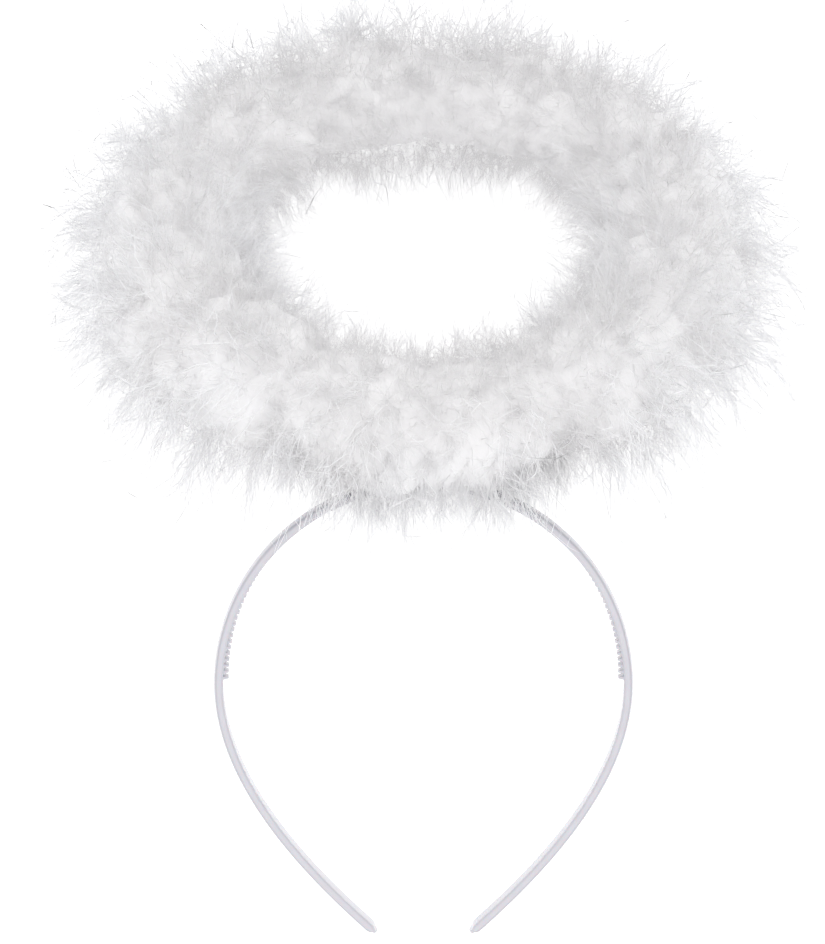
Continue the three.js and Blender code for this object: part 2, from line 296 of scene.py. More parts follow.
def tooth_line():
    """Where the teeth stand on the right: each place on the inner face, and the way out through the band."""
    angle = math.pi / 2 - TOOTH_START / inner_pace(math.pi / 2)
    line = []
    for _ in range(TOOTH_COUNT):
        place, outward, _ = crown_station(angle)
        line.append((place - BAND_THICKNESS * outward, outward))
        angle -= TOOTH_PITCH / inner_pace(angle)
    return line


def one_tooth():
    """A wedge across the band, root up and edge down, a little sunk in the band."""
    low, high = -TOOTH_HEIGHT, TOOTH_SINK
    blunt = TOOTH_DEPTH / 2 - TOOTH_HEIGHT / 2
    rings = [
        [(a * long / 2, b * deep, z) for a, b in ((-1, -1), (1, -1), (1, 1), (-1, 1))]
        for long, deep, z in ((TOOTH_TIP, blunt, low), (TOOTH_ROOT, TOOTH_DEPTH / 2, high))
    ]
    return outward_mesh("tooth", *skin(rings), polystyrene)


def comb_tree(tooth):
    """Stands a bevelled tooth on each point of a line, turned and scaled by the line's own attributes."""
    tree = bpy.data.node_groups.new("comb of teeth", "GeometryNodeTree")
    tree.interface.new_socket("Line", in_out="INPUT", socket_type="NodeSocketGeometry")
    tree.interface.new_socket("Tooth", in_out="INPUT", socket_type="NodeSocketObject")
    tree.interface.new_socket("Comb", in_out="OUTPUT", socket_type="NodeSocketGeometry")
    given = add(tree, "NodeGroupInput")
    shape = add(tree, "GeometryNodeObjectInfo", {"Object": given.outputs["Tooth"]})
    turn = add(tree, "GeometryNodeInputNamedAttribute", {"Name": "turn"}, data_type="FLOAT_VECTOR")
    size = add(tree, "GeometryNodeInputNamedAttribute", {"Name": "size"}, data_type="FLOAT_VECTOR")
    stand = add(tree, "GeometryNodeInstanceOnPoints", {
        "Points": given.outputs["Line"], "Instance": shape.outputs["Geometry"],
        "Rotation": turn.outputs["Attribute"], "Scale": size.outputs["Attribute"],
    })
    real = add(tree, "GeometryNodeRealizeInstances", {"Geometry": stand.outputs[0]})
    dressed = add(tree, "GeometryNodeSetMaterial", {"Geometry": real.outputs[0], "Material": polystyrene})
    add(tree, "NodeGroupOutput", {"Comb": dressed.outputs[0]})
    return tree


def grown(source, tree, **inputs):
    """The plain mesh that a tree of geometry nodes grows on a mesh, once its inputs are set by name."""
    holder = bpy.data.objects.new("holder", source)
    bpy.context.scene.collection.objects.link(holder)
    modifier = holder.modifiers.new("grow", "NODES")
    modifier.node_group = tree
    for item in tree.interface.items_tree:
        if item.in_out == "INPUT" and item.name in inputs:
            modifier[item.identifier] = inputs[item.name]
    bpy.context.view_layer.update()
    evaluated = holder.evaluated_get(bpy.context.evaluated_depsgraph_get())
    mesh = bpy.data.meshes.new_from_object(evaluated)
    bpy.data.objects.remove(holder)
    return mesh


tooth = bpy.data.objects.new("tooth", one_tooth())
bpy.context.scene.collection.objects.link(tooth)
bevel = tooth.modifiers.new("bevel", "BEVEL")
bevel.width = TOOTH_BEVEL
bevel.segments = 2
line_mesh = bpy.data.meshes.new("tooth line")
teeth = tooth_line()
places, turns, sizes = [], [], []
for side in (1, -1):
    for i, (place, outward) in enumerate(teeth):
        places.append(AS_WORN @ Vector((side * place.x, 0, place.y)))
        tilt = Matrix.Rotation(side * math.atan2(outward.x, outward.y), 3, "Y")
        turns.append((AS_WORN.to_3x3() @ tilt).to_euler())
        fading = (1 - TOOTH_LEAST / TOOTH_HEIGHT) * i / (TOOTH_COUNT - 1)
        sizes.append((1, 1, 1 - fading))
line_mesh.from_pydata(places, [], [])
for name, values in (("turn", turns), ("size", sizes)):
    attribute = line_mesh.attributes.new(name, "FLOAT_VECTOR", "POINT")
    attribute.data.foreach_set("vector", [c for value in values for c in value])
comb_mesh = grown(line_mesh, comb_tree(tooth), Tooth=tooth)
bpy.data.objects.remove(tooth)


def joined(name, meshes):
    """One mesh of several, that keeps their smoothness, with the first one's material."""
    points, faces, smooth = [], [], []
    for mesh in meshes:
        start = len(points)
        points += [v.co.copy() for v in mesh.vertices]
        faces += [tuple(start + i for i in face.vertices) for face in mesh.polygons]
        smooth += [face.use_smooth for face in mesh.polygons]
    whole = bpy.data.meshes.new(name)
    whole.from_pydata(points, [], faces)
    whole.polygons.foreach_set("use_smooth", smooth)
    whole.materials.append(meshes[0].materials[0])
    return whole


def show(name, mesh, slot, *nodes):
    """Puts a finished mesh in the scene for the CAD nodes that it stands for."""
    piece = bpy.data.objects.new(name, mesh)
    bpy.context.scene.collection.objects.link(piece)
    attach(piece, "root")
    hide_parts(*nodes)


headband_mesh = joined("moulded headband", [band_mesh, comb_mesh])
# Painted shade along the rounded edges: how much of the edge shade colour each point takes, none on the flat
# faces or the teeth
corner_shades = [*INNER_EDGE_SHADE, *OUTER_EDGE_SHADE]
flat_shades = [0.0] * (FACE_STEPS - 1)
ring_shades = corner_shades + flat_shades + corner_shades[::-1] + flat_shades
edge_shades = ring_shades * (len(band_mesh.vertices) // len(ring_shades)) + [0.0] * len(comb_mesh.vertices)
headband_mesh.attributes.new("edge", "FLOAT", "POINT").data.foreach_set("value", edge_shades)
show("moulded_headband", headband_mesh, "band_plastic", "headband")


# Wire. A ring of steel wire, hidden in the feathers, on two legs that are each wrapped once round the crown
# of the band. It is lacquered white so that it doesn't show through the down.
HALO_RADIUS = 78 * MM
HALO_RISE = math.radians(26)
LEG_HEIGHT = 19.5 * MM
LEG_SPACING = 11 * MM
WIRE_DIAMETER = 1.6 * MM
CLEARANCE = 0.3 * MM
WIRE_SIDES = 14
RING_STEPS = 160
WRAP_CORNER = 1.0 * MM
WRAP_CORNER_STEPS = 6

AS_HALO = AS_WORN @ Matrix.Translation((
    0, HALO_RADIUS * math.cos(HALO_RISE), LEG_HEIGHT + HALO_RADIUS * math.sin(HALO_RISE),
)) @ Matrix.Rotation(HALO_RISE, 4, "X")


def tube(path, closed):
    """Points and faces of a round wire along a path of points."""
    radius = WIRE_DIAMETER / 2
    count = len(path)
    rings = []
    sideways = None
    for i, point in enumerate(path):
        before = path[i - 1] if closed or i > 0 else point
        after = path[(i + 1) % count] if closed or i < count - 1 else point
        ahead = (after - before).normalized()
        sideways = ahead.orthogonal() if sideways is None else sideways - sideways.project(ahead)
        sideways.normalize()
        over = ahead.cross(sideways)
        rings.append([
            point + radius * (math.cos(a) * sideways + math.sin(a) * over)
            for a in (2 * math.pi * k / WIRE_SIDES for k in range(WIRE_SIDES))
        ])
    points, faces = skin(rings)
    if closed:
        faces = faces[:-2]
        last, sides = (count - 1) * WIRE_SIDES, WIRE_SIDES
        faces += [(last + k, last + (k + 1) % sides, (k + 1) % sides, k) for k in range(sides)]
    return points, faces


def wrap_path(side):
    """A rounded rectangle round the crown, square to the band, corner after corner."""
    place, outward, _ = crown_station(math.asin(LEG_SPACING / BAND_WIDTH))
    gap = CLEARANCE + WIRE_DIAMETER / 2
    path = []
    for corner, (high, rear) in enumerate(((1, 1), (1, -1), (-1, -1), (-1, 1))):
        middle = gap - WRAP_CORNER if high > 0 else WRAP_CORNER - BAND_THICKNESS - gap
        for i in range(WRAP_CORNER_STEPS + 1):
            turn = math.pi / 2 * (1 - corner - i / WRAP_CORNER_STEPS)
            out = middle + WRAP_CORNER * math.cos(turn)
            y = rear * (BAND_DEPTH / 2 + gap - WRAP_CORNER) + WRAP_CORNER * math.sin(turn)
            path.append(AS_WORN @ Vector((side * (place.x + out * outward.x), y, place.y + out * outward.y)))
    return path


def leg_path(side):
    """From the top of a wrap up to the ring."""
    place, outward, _ = crown_station(math.asin(LEG_SPACING / BAND_WIDTH))
    gap = CLEARANCE + WIRE_DIAMETER / 2
    turn = math.asin(place.x / HALO_RADIUS)
    foot = AS_WORN @ Vector((side * (place.x + gap * outward.x), 0, place.y + gap * outward.y))
    head = AS_HALO @ Vector((side * HALO_RADIUS * math.sin(turn), -HALO_RADIUS * math.cos(turn), 0))
    return [foot, foot.lerp(head, 0.5), head]


# The lacquer is baked on drawn steel wire: a smooth, glossy white with faint runs that shift its highlights
WIRE_WHITE = "#e6e6ea"
WIRE_SHADE = "#dcdce1"
LACQUER_RIPPLE = 1.5 * MM

lacquer = new_material("white lacquered steel wire")
tree = lacquer.node_tree
where = add(tree, "ShaderNodeTexCoord").outputs["Object"]
runs = add(tree, "ShaderNodeTexNoise", {"Vector": where, "Scale": 1 / LACQUER_RIPPLE, "Detail": 2.0})
tint = add(tree, "ShaderNodeValToRGB", {"Fac": runs.outputs["Fac"]})
tint.color_ramp.elements[0].color = linear(WIRE_SHADE)
tint.color_ramp.elements[1].color = linear(WIRE_WHITE)
bump = add(tree, "ShaderNodeBump", {"Height": runs.outputs["Fac"], "Strength": 0.1, "Distance": 0.1 * MM})
surface = add(tree, "ShaderNodeBsdfPrincipled", {
    "Base Color": tint.outputs[0], "Roughness": 0.3, "IOR": 1.5, "Normal": bump.outputs[0],
})
add(tree, "ShaderNodeOutputMaterial", {"Surface": surface.outputs[0]})

ring_path = [
    AS_HALO @ Vector((HALO_RADIUS * math.sin(a), -HALO_RADIUS * math.cos(a), 0))
    for a in (2 * math.pi * i / RING_STEPS for i in range(RING_STEPS))
]
wires = [outward_mesh("ring", *tube(ring_path, True), lacquer)]
for side in (1, -1):
    wires.append(outward_mesh("wrap", *tube(wrap_path(side), True), lacquer))
    wires.append(outward_mesh("leg", *tube(leg_path(side), False), lacquer))
show("lacquered_wire", joined("lacquered wire", wires), "wire", "halo_wire")


# Feathers. White marabou trim wound round the wire: downy plumes, each a thin quill with fine limp barbs all
# round it, so the whole is a soft mass with hair-thin ends. It is made in the twelve bunches that the puffs
# of its outline show. Each is a pad of matted down, plumes rooted in it, and single barbs worked loose.

# The pad: how far it reaches outwards and upwards, how much less at a bunch's ends, how much further out at
# the far side, and how its lumps and its skirt round the crown stand out. The lumps are lengths and heights.
PAD_OUT = 23 * MM
PAD_UP = 16.5 * MM
PAD_ROWS = 44
PAD_SIDES = 72
PAD_LUMPS = ((14, 2.6), (6, 1.0), (2.6, 0.7))
PAD_SKIRT = 10 * MM
PAD_OVERLAP = 0.18  # of its sector, how far a pad runs on into its neighbours
PAD_BLUNTNESS = 5  # the higher, the squarer the ends of a pad
PAD_LAST = 0.02  # how big its last ring is, which closes it
END_DIP = 0.14
FAR_OUT = 0.25
LEGS_SPREAD = 12  # the higher, the closer to the legs the down hangs to the crown

# The plumes: how bent a quill and a barb are, how unevenly barbs lean, how long they are from the foot of the
# quill to its tip, and how much shorter plumes are above the wire than at its outer side
PLUME_KINDS = 4
MERGED = 0.001 * MM  # how close points are that are made one where a barb ends
QUILL_BEND = 0.22
BARB_BOW = 0.42
LOOSE_BOW = 0.15
BARB_LEAN = 0.25
BARB_UNEVEN = (0.65, 1.2)
BARB_LENGTHS = ((0, 0.6), (1, 0.6), (0.35, 1.0))  # at the quill's foot, its tip and where they are longest
GOLDEN_TURN = math.pi * (3 - math.sqrt(5))  # from one barb or plume to the next, which spreads them evenly
TURN_JITTER = 0.4
REACH_UP = 0.84
REACH_OUT = 0.2
LEAST_SWELL = 0.5  # the share of a plume's size that a bunch's swell doesn't change

# How a bunch hangs: how far from the wire its ends may be, how far they sag, the waves in them, how far the
# near and far bunches sit up on the wire, and the box that the ends are kept in, over the floor
FULL_REACH = 52 * MM
SOFT_REACH = 38 * MM
DROOP = 18 * MM
NEAR_DROOP = 3 * MM
NEAR_HANG = 9 * MM
NEAR_SPREAD = 3
FAR_STAND = 0.9
SAG_GROWTH = 2.5
WAVE = 2.8 * MM
WAVE_LENGTH = 18 * MM
WAVES = 3
WAVE_STEP = 0.6
WAVE_GROWTH = 1.5
NEAR_LIFT = 2 * MM
FAR_LIFT = 7 * MM
FLOOR_GAP = 0.25 * MM
WIDEST = 117 * MM
FARTHEST = 160 * MM
HIGHEST = 131 * MM
LIMIT_SOFT = 8 * MM
TINY = 1e-6  # keeps a division by the distance from the wire defined

# Seeds are kept apart for the kinds of plume, for the draws of each kind of tuft and for the bunches
KIND_SEEDS = 10
DRAW_SEEDS = 20
BUNCH_SEEDS = 1000
DRAWS = ("along", "around", "stray", "roll", "size", "root", "lowered")

# Limp barbs hang the way the photo shows them, down past the band as it is worn
HANG = AS_WORN.to_3x3() @ Vector((0, 0, -1))
DOWN_IN_HALO = AS_HALO.to_3x3().inverted() @ HANG


def barb(tree, length, radius, bow, points):
    """Nodes for one barb: a closed three-sided spike from the origin along +Z that bows to one side."""
    line = add(tree, "GeometryNodeCurvePrimitiveLine")
    end = add(tree, "ShaderNodeCombineXYZ", {"Z": length})
    tree.links.new(end.outputs[0], line.inputs["End"])
    curve = add(tree, "GeometryNodeResampleCurve", {"Curve": line.outputs[0], "Count": points})
    along = add(tree, "GeometryNodeSplineParameter").outputs["Factor"]
    square = add(tree, "ShaderNodeMath", {0: along, 1: 2.0}, operation="POWER")
    reach = add(tree, "ShaderNodeMath", {0: square.outputs[0], 1: bow}, operation="MULTIPLY")
    aside = add(tree, "ShaderNodeMath", {0: reach.outputs[0], 1: length}, operation="MULTIPLY")
    offset = add(tree, "ShaderNodeCombineXYZ", {"X": aside.outputs[0]})
    bowed = add(tree, "GeometryNodeSetPosition", {"Geometry": curve.outputs[0], "Offset": offset.outputs[0]})
    rest = add(tree, "ShaderNodeMath", {0: 1.0, 1: square.outputs[0]}, operation="SUBTRACT")
    thick = add(tree, "ShaderNodeMath", {0: rest.outputs[0], 1: radius}, operation="MULTIPLY")
    rim = add(tree, "GeometryNodeCurvePrimitiveCircle", {"Resolution": 3, "Radius": 1.0})
    mesh = add(tree, "GeometryNodeCurveToMesh", {
        "Curve": bowed.outputs[0], "Profile Curve": rim.outputs[0], "Scale": thick.outputs[0],
        "Fill Caps": True,
    })
    shut = add(tree, "GeometryNodeMergeByDistance", {"Geometry": mesh.outputs[0], "Distance": MERGED})
    return shut.outputs[0]


def plume_tree():
    """One marabou plume along +Z: barbs all round a bent quill, longest below its middle."""
    tree = bpy.data.node_groups.new("marabou plume", "GeometryNodeTree")
    for name in ("Seed", "Barbs"):
        tree.interface.new_socket(name, in_out="INPUT", socket_type="NodeSocketInt")
    for name in ("Quill", "Barb", "Thick", "Foot", "Tip"):
        tree.interface.new_socket(name, in_out="INPUT", socket_type="NodeSocketFloat")
    tree.interface.new_socket("Bends", in_out="INPUT", socket_type="NodeSocketInt")
    tree.interface.new_socket("Plume", in_out="OUTPUT", socket_type="NodeSocketGeometry")
    given = add(tree, "NodeGroupInput")
    seed, barbs, quill, length = (given.outputs[name] for name in ("Seed", "Barbs", "Quill", "Barb"))
    thick, foot, top, bends = (given.outputs[name] for name in ("Thick", "Foot", "Tip", "Bends"))
    tip = add(tree, "ShaderNodeCombineXYZ", {"Z": quill})
    line = add(tree, "GeometryNodeCurvePrimitiveLine", {"End": tip.outputs[0]})
    places = add(tree, "GeometryNodeResampleCurve", {"Curve": line.outputs[0], "Count": barbs})
    along = add(tree, "GeometryNodeSplineParameter").outputs["Factor"]
    square = add(tree, "ShaderNodeMath", {0: along, 1: 2.0}, operation="POWER")
    part = add(tree, "ShaderNodeMath", {0: square.outputs[0], 1: QUILL_BEND}, operation="MULTIPLY")
    aside = add(tree, "ShaderNodeMath", {0: part.outputs[0], 1: quill}, operation="MULTIPLY")
    offset = add(tree, "ShaderNodeCombineXYZ", {"X": aside.outputs[0]})
    bent = add(tree, "GeometryNodeSetPosition", {"Geometry": places.outputs[0], "Offset": offset.outputs[0]})
    # Barbs leave the quill at each side in turn, wide at its foot and nearly in line with it at its tip
    number = add(tree, "GeometryNodeInputIndex").outputs[0]
    about = add(tree, "ShaderNodeMath", {0: number, 1: GOLDEN_TURN}, operation="MULTIPLY")
    opening = add(tree, "ShaderNodeMapRange", {"Value": along, "To Min": foot, "To Max": top})
    lean = add(tree, "FunctionNodeRandomValue", {
        2: -BARB_LEAN, 3: BARB_LEAN, "Seed": seed,
    }, data_type="FLOAT")
    spread = add(tree, "ShaderNodeMath", {0: opening.outputs[0], 1: lean.outputs[1]}, operation="ADD")
    turned = add(tree, "ShaderNodeCombineXYZ", {"Y": spread.outputs[0], "Z": about.outputs[0]})
    leaning = add(tree, "FunctionNodeEulerToRotation", {0: turned.outputs[0]})
    roll = add(tree, "FunctionNodeRandomValue", {2: 0.0, 3: 2 * math.pi, "Seed": seed}, data_type="FLOAT")
    spin = add(tree, "FunctionNodeAxisAngleToRotation", {"Axis": (0, 0, 1), "Angle": roll.outputs[1]})
    facing = add(tree, "FunctionNodeRotateRotation", {
        "Rotation": leaning.outputs[0], "Rotate By": spin.outputs[0],
    }, rotation_space="LOCAL")
    shape = add(tree, "ShaderNodeFloatCurve", {"Value": along})
    curve = shape.mapping.curves[0]
    for point, location in zip(curve.points, BARB_LENGTHS):
        point.location = location
    curve.points.new(*BARB_LENGTHS[2])
    shape.mapping.update()
    uneven = add(tree, "FunctionNodeRandomValue", {
        2: BARB_UNEVEN[0], 3: BARB_UNEVEN[1], "Seed": seed,
    }, data_type="FLOAT")
    size = add(tree, "ShaderNodeMath", {0: shape.outputs[0], 1: uneven.outputs[1]}, operation="MULTIPLY")
    stand = add(tree, "GeometryNodeInstanceOnPoints", {
        "Points": bent.outputs[0], "Rotation": facing.outputs[0], "Scale": size.outputs[0],
        "Instance": barb(tree, length, thick, BARB_BOW, bends),
    })
    real = add(tree, "GeometryNodeRealizeInstances", {"Geometry": stand.outputs[0]})
    add(tree, "NodeGroupOutput", {"Plume": real.outputs[0]})
    return tree


# What a bunch is made of: how many, a quill and its barbs, how thick a barb is and its points, the angles at
# which barbs leave the quill's foot and its tip, the depths at which they root, as shares of the pad, the
# range of sizes, how far they stray and how much they stand straight out. A loose barb has no quill. The last
# kind is the veil, which hangs over the crown from the two bunches beside the legs, VEIL plumes from each.
# Lengths are in millimetres here and angles in radians.
TUFTS = (
    {
        "count": 186, "quill": 4, "barbs": 10, "barb": 10, "thick": 0.12, "points": 3, "angles": (1.3, 0.7),
        "roots": (0.95, 1.15), "sizes": (0.75, 1.2), "stray": 1.0, "stand": 0.55,
    },
    {
        "count": 104, "quill": 11, "barbs": 16, "barb": 12, "thick": 0.12, "points": 4, "angles": (1.15, 0.3),
        "roots": (0.8, 1.0), "sizes": (0.7, 1.2), "stray": 0.5, "stand": 1.0,
    },
    {
        "count": 60, "quill": 12, "barbs": 18, "barb": 20, "thick": 0.11, "points": 4, "angles": (0.7, 0.1),
        "roots": (0.85, 1.0), "sizes": (0.8, 1.1), "stray": 0.3, "stand": 1.0,
    },
    {
        "count": 250, "quill": 0, "barbs": 0, "barb": 34, "thick": 0.14, "points": 6, "angles": (0, 0),
        "roots": (0.8, 1.0), "sizes": (0.6, 1.15), "stray": 0.32, "stand": 1.0,
    },
    {
        "count": None, "quill": 6, "barbs": 16, "barb": 14, "thick": 0.12, "points": 4, "angles": (0.9, 0.2),
        "roots": (1.0, 1.15), "sizes": (0.8, 1.2), "stray": 0.4, "stand": 0.3,
    },
)
VEIL = 76
VEIL_ARC = (math.radians(-105), math.radians(15))


def tufts(tree, given, plume, order, tuft):
    """Nodes for one kind of tuft: its plumes or barbs, where they root, which way they stand, how big."""
    first, last, swell = (given.outputs[name] for name in ("First", "Last", "Swell"))
    hang, seed = (given.outputs[name] for name in ("Hang", "Seed"))
    kinds = add(tree, "GeometryNodeJoinGeometry")
    for kind in range(PLUME_KINDS):
        if tuft["quill"]:
            one = add(tree, "GeometryNodeGroup", node_tree=plume)
            for name, value in (
                ("Seed", KIND_SEEDS * order + kind), ("Barbs", tuft["barbs"]),
                ("Quill", tuft["quill"] * MM), ("Barb", tuft["barb"] * MM), ("Thick", tuft["thick"] * MM),
                ("Foot", tuft["angles"][0]), ("Tip", tuft["angles"][1]), ("Bends", tuft["points"]),
            ):
                one.inputs[name].default_value = value
            shape = one.outputs[0]
        else:
            shape = barb(tree, tuft["barb"] * MM, tuft["thick"] * MM, LOOSE_BOW * (kind + 1), tuft["points"])
        kept = add(tree, "GeometryNodeGeometryToInstance", {"Geometry": shape})
        tree.links.new(kept.outputs[0], kinds.inputs[0])
    # Points stand evenly along the sector and round the wire, each moved a little at random
    draws = {}
    for n, name in enumerate(DRAWS):
        offset = float(DRAW_SEEDS * order + n)
        draws[name] = add(tree, "ShaderNodeMath", {0: seed, 1: offset}, operation="ADD").outputs[0]
    veil = tuft["count"] is None
    count = given.outputs["Veil"] if veil else tuft["count"]
    points = add(tree, "GeometryNodePoints", {"Count": count}).outputs[0]
    number = add(tree, "GeometryNodeInputIndex").outputs[0]
    loose = add(tree, "FunctionNodeRandomValue", {
        2: 0.0, 3: 1.0, "Seed": draws["along"],
    }, data_type="FLOAT").outputs[1]
    moved = add(tree, "ShaderNodeMath", {0: number, 1: loose}, operation="ADD").outputs[0]
    share = add(tree, "ShaderNodeMath", {0: moved, 1: count}, operation="DIVIDE").outputs[0]
    turn = add(tree, "ShaderNodeMapRange", {"Value": share, "To Min": first, "To Max": last}).outputs[0]
    if veil:
        around = add(tree, "FunctionNodeRandomValue", {
            2: VEIL_ARC[0], 3: VEIL_ARC[1], "Seed": draws["around"],
        }, data_type="FLOAT").outputs[1]
    else:
        golden = add(tree, "ShaderNodeMath", {0: number, 1: GOLDEN_TURN}, operation="MULTIPLY").outputs[0]
        jitter = add(tree, "FunctionNodeRandomValue", {
            2: -TURN_JITTER, 3: TURN_JITTER, "Seed": draws["around"],
        }, data_type="FLOAT").outputs[1]
        around = add(tree, "ShaderNodeMath", {0: golden, 1: jitter}, operation="ADD").outputs[0]
    sin_turn, cos_turn, sin_around, cos_around = (
        add(tree, "ShaderNodeMath", {0: angle}, operation=kind).outputs[0]
        for angle in (turn, around) for kind in ("SINE", "COSINE")
    )
    # The way out of the wire here: away from the halo's axis, tipped up or down by the turn round the wire
    toward = add(tree, "ShaderNodeMath", {0: cos_turn, 1: -1.0}, operation="MULTIPLY").outputs[0]
    radial = add(tree, "ShaderNodeCombineXYZ", {"X": sin_turn, "Y": toward}).outputs[0]
    flat = add(tree, "ShaderNodeVectorMath", {0: radial, 3: cos_around}, operation="SCALE").outputs[0]
    lift = add(tree, "ShaderNodeCombineXYZ", {"Z": sin_around}).outputs[0]
    out = add(tree, "ShaderNodeVectorMath", {0: flat, 1: lift}, operation="ADD").outputs[0]
    stray = add(tree, "FunctionNodeRandomValue", {
        0: (-tuft["stray"],) * 3, 1: (tuft["stray"],) * 3, "Seed": draws["stray"],
    }, data_type="FLOAT_VECTOR").outputs[0]
    upright = add(tree, "ShaderNodeVectorMath", {0: out, 3: tuft["stand"]}, operation="SCALE").outputs[0]
    way = add(tree, "ShaderNodeVectorMath", {0: upright, 1: stray}, operation="ADD").outputs[0]
    if veil:
        way = add(tree, "ShaderNodeVectorMath", {0: way, 1: DOWN_IN_HALO}, operation="ADD").outputs[0]
    wire = add(tree, "ShaderNodeVectorMath", {0: radial, 3: HALO_RADIUS}, operation="SCALE").outputs[0]
    off = add(tree, "ShaderNodeMapRange", {"Value": share, "To Min": -1.0, "To Max": 1.0}).outputs[0]
    ends = add(tree, "ShaderNodeMath", {0: off, 1: 2.0}, operation="POWER").outputs[0]
    puff = add(tree, "ShaderNodeMapRange", {"Value": ends, "To Min": 1.0, "To Max": 1 - END_DIP}).outputs[0]
    far = add(tree, "ShaderNodeMath", {0: toward, 1: 0.0}, operation="MAXIMUM").outputs[0]
    far = add(tree, "ShaderNodeMath", {0: far, 1: FAR_OUT}, operation="MULTIPLY").outputs[0]
    far = add(tree, "ShaderNodeMath", {0: far, 1: cos_around}, operation="MULTIPLY").outputs[0]
    far = add(tree, "ShaderNodeMath", {0: far, 1: 1.0}, operation="ADD").outputs[0]
    # Its root is at a share of the pad's depth there, as pad_mesh makes the pad
    wide = add(tree, "ShaderNodeMath", {0: cos_around, 1: PAD_OUT}, operation="MULTIPLY").outputs[0]
    tall = add(tree, "ShaderNodeMath", {0: sin_around, 1: PAD_UP}, operation="MULTIPLY").outputs[0]
    rim = add(tree, "ShaderNodeCombineXYZ", {"X": wide, "Y": tall}).outputs[0]
    pad = add(tree, "ShaderNodeVectorMath", {0: rim}, operation="LENGTH").outputs["Value"]
    root = add(tree, "FunctionNodeRandomValue", {
        2: tuft["roots"][0], 3: tuft["roots"][1], "Seed": draws["root"],
    }, data_type="FLOAT").outputs[1]
    for factor in (pad, puff, swell, far):
        root = add(tree, "ShaderNodeMath", {0: root, 1: factor}, operation="MULTIPLY").outputs[0]
    rooted = add(tree, "ShaderNodeVectorMath", {0: out, 3: root}, operation="SCALE").outputs[0]
    place = add(tree, "ShaderNodeVectorMath", {0: wire, 1: rooted}, operation="ADD").outputs[0]
    # Beside the legs some of the down is on them, all the way to the crown
    low = add(tree, "FunctionNodeRandomValue", {
        2: 0.0, 3: 1.0, "Seed": draws["lowered"],
    }, data_type="FLOAT").outputs[1]
    beside = add(tree, "ShaderNodeMath", {0: cos_turn, 1: float(LEGS_SPREAD)}, operation="POWER").outputs[0]
    low = add(tree, "ShaderNodeMath", {0: low}, operation="SQRT").outputs[0]
    for factor in (beside, hang):
        low = add(tree, "ShaderNodeMath", {0: low, 1: factor}, operation="MULTIPLY").outputs[0]
    under = add(tree, "ShaderNodeVectorMath", {0: out, 1: DOWN_IN_HALO}, operation="DOT_PRODUCT")
    low = add(tree, "ShaderNodeMath", {0: low, 1: under.outputs["Value"]}, operation="MULTIPLY").outputs[0]
    low = add(tree, "ShaderNodeMath", {0: low, 1: 0.0}, operation="MAXIMUM").outputs[0]
    lower = add(tree, "ShaderNodeVectorMath", {0: DOWN_IN_HALO, 3: low}, operation="SCALE").outputs[0]
    place = add(tree, "ShaderNodeVectorMath", {0: place, 1: lower}, operation="ADD").outputs[0]
    placed = add(tree, "GeometryNodeSetPosition", {"Geometry": points, "Position": place}).outputs[0]
    aligned = add(tree, "FunctionNodeAlignRotationToVector", {"Vector": way}, axis="Z").outputs[0]
    roll = add(tree, "FunctionNodeRandomValue", {
        2: 0.0, 3: 2 * math.pi, "Seed": draws["roll"],
    }, data_type="FLOAT")
    spin = add(tree, "FunctionNodeAxisAngleToRotation", {"Axis": (0, 0, 1), "Angle": roll.outputs[1]})
    facing = add(tree, "FunctionNodeRotateRotation", {
        "Rotation": aligned, "Rotate By": spin.outputs[0],
    }, rotation_space="LOCAL").outputs[0]
    # Plumes reach further outwards than inwards, less above and below, and less at the ends of a bunch
    outer = add(tree, "ShaderNodeMath", {0: cos_around, 1: REACH_OUT}, operation="MULTIPLY").outputs[0]
    outer = add(tree, "ShaderNodeMath", {0: outer, 1: 1.0}, operation="ADD").outputs[0]
    high = add(tree, "ShaderNodeMath", {0: sin_around, 1: 2.0}, operation="POWER").outputs[0]
    oval = add(tree, "ShaderNodeMapRange", {"Value": high, "To Min": 1.0, "To Max": REACH_UP}).outputs[0]
    fuller = add(tree, "ShaderNodeMapRange", {
        "Value": swell, "To Min": LEAST_SWELL, "To Max": 1.0,
    }, clamp=False).outputs[0]
    size = add(tree, "FunctionNodeRandomValue", {
        2: tuft["sizes"][0], 3: tuft["sizes"][1], "Seed": draws["size"],
    }, data_type="FLOAT").outputs[1]
    for factor in (oval, outer, puff, fuller, far):
        size = add(tree, "ShaderNodeMath", {0: size, 1: factor}, operation="MULTIPLY").outputs[0]
    standing = add(tree, "GeometryNodeInstanceOnPoints", {
        "Points": placed, "Instance": kinds.outputs[0], "Pick Instance": True,
        "Rotation": facing, "Scale": size,
    })
    real = add(tree, "GeometryNodeRealizeInstances", {"Geometry": standing.outputs[0]})
    return real.outputs[0]


def bunch_tree(plume, material):
    """Plumes and loose barbs on one sector of the halo, in the halo's own frame with its ring in XY."""
    tree = bpy.data.node_groups.new("bunch of down", "GeometryNodeTree")
    tree.interface.new_socket("Pad", in_out="INPUT", socket_type="NodeSocketGeometry")
    for name in ("First", "Last", "Swell", "Hang"):
        tree.interface.new_socket(name, in_out="INPUT", socket_type="NodeSocketFloat")
    for name in ("Seed", "Veil"):
        tree.interface.new_socket(name, in_out="INPUT", socket_type="NodeSocketInt")
    tree.interface.new_socket("Bunch", in_out="OUTPUT", socket_type="NodeSocketGeometry")
    given = add(tree, "NodeGroupInput")
    parts = add(tree, "GeometryNodeJoinGeometry", {0: given.outputs["Pad"]})
    for order, tuft in enumerate(TUFTS):
        tree.links.new(tufts(tree, given, plume, order, tuft), parts.inputs[0])
    dressed = add(tree, "GeometryNodeSetMaterial", {"Geometry": parts.outputs[0], "Material": material})
    add(tree, "NodeGroupOutput", {"Bunch": dressed.outputs[0]})
    return tree
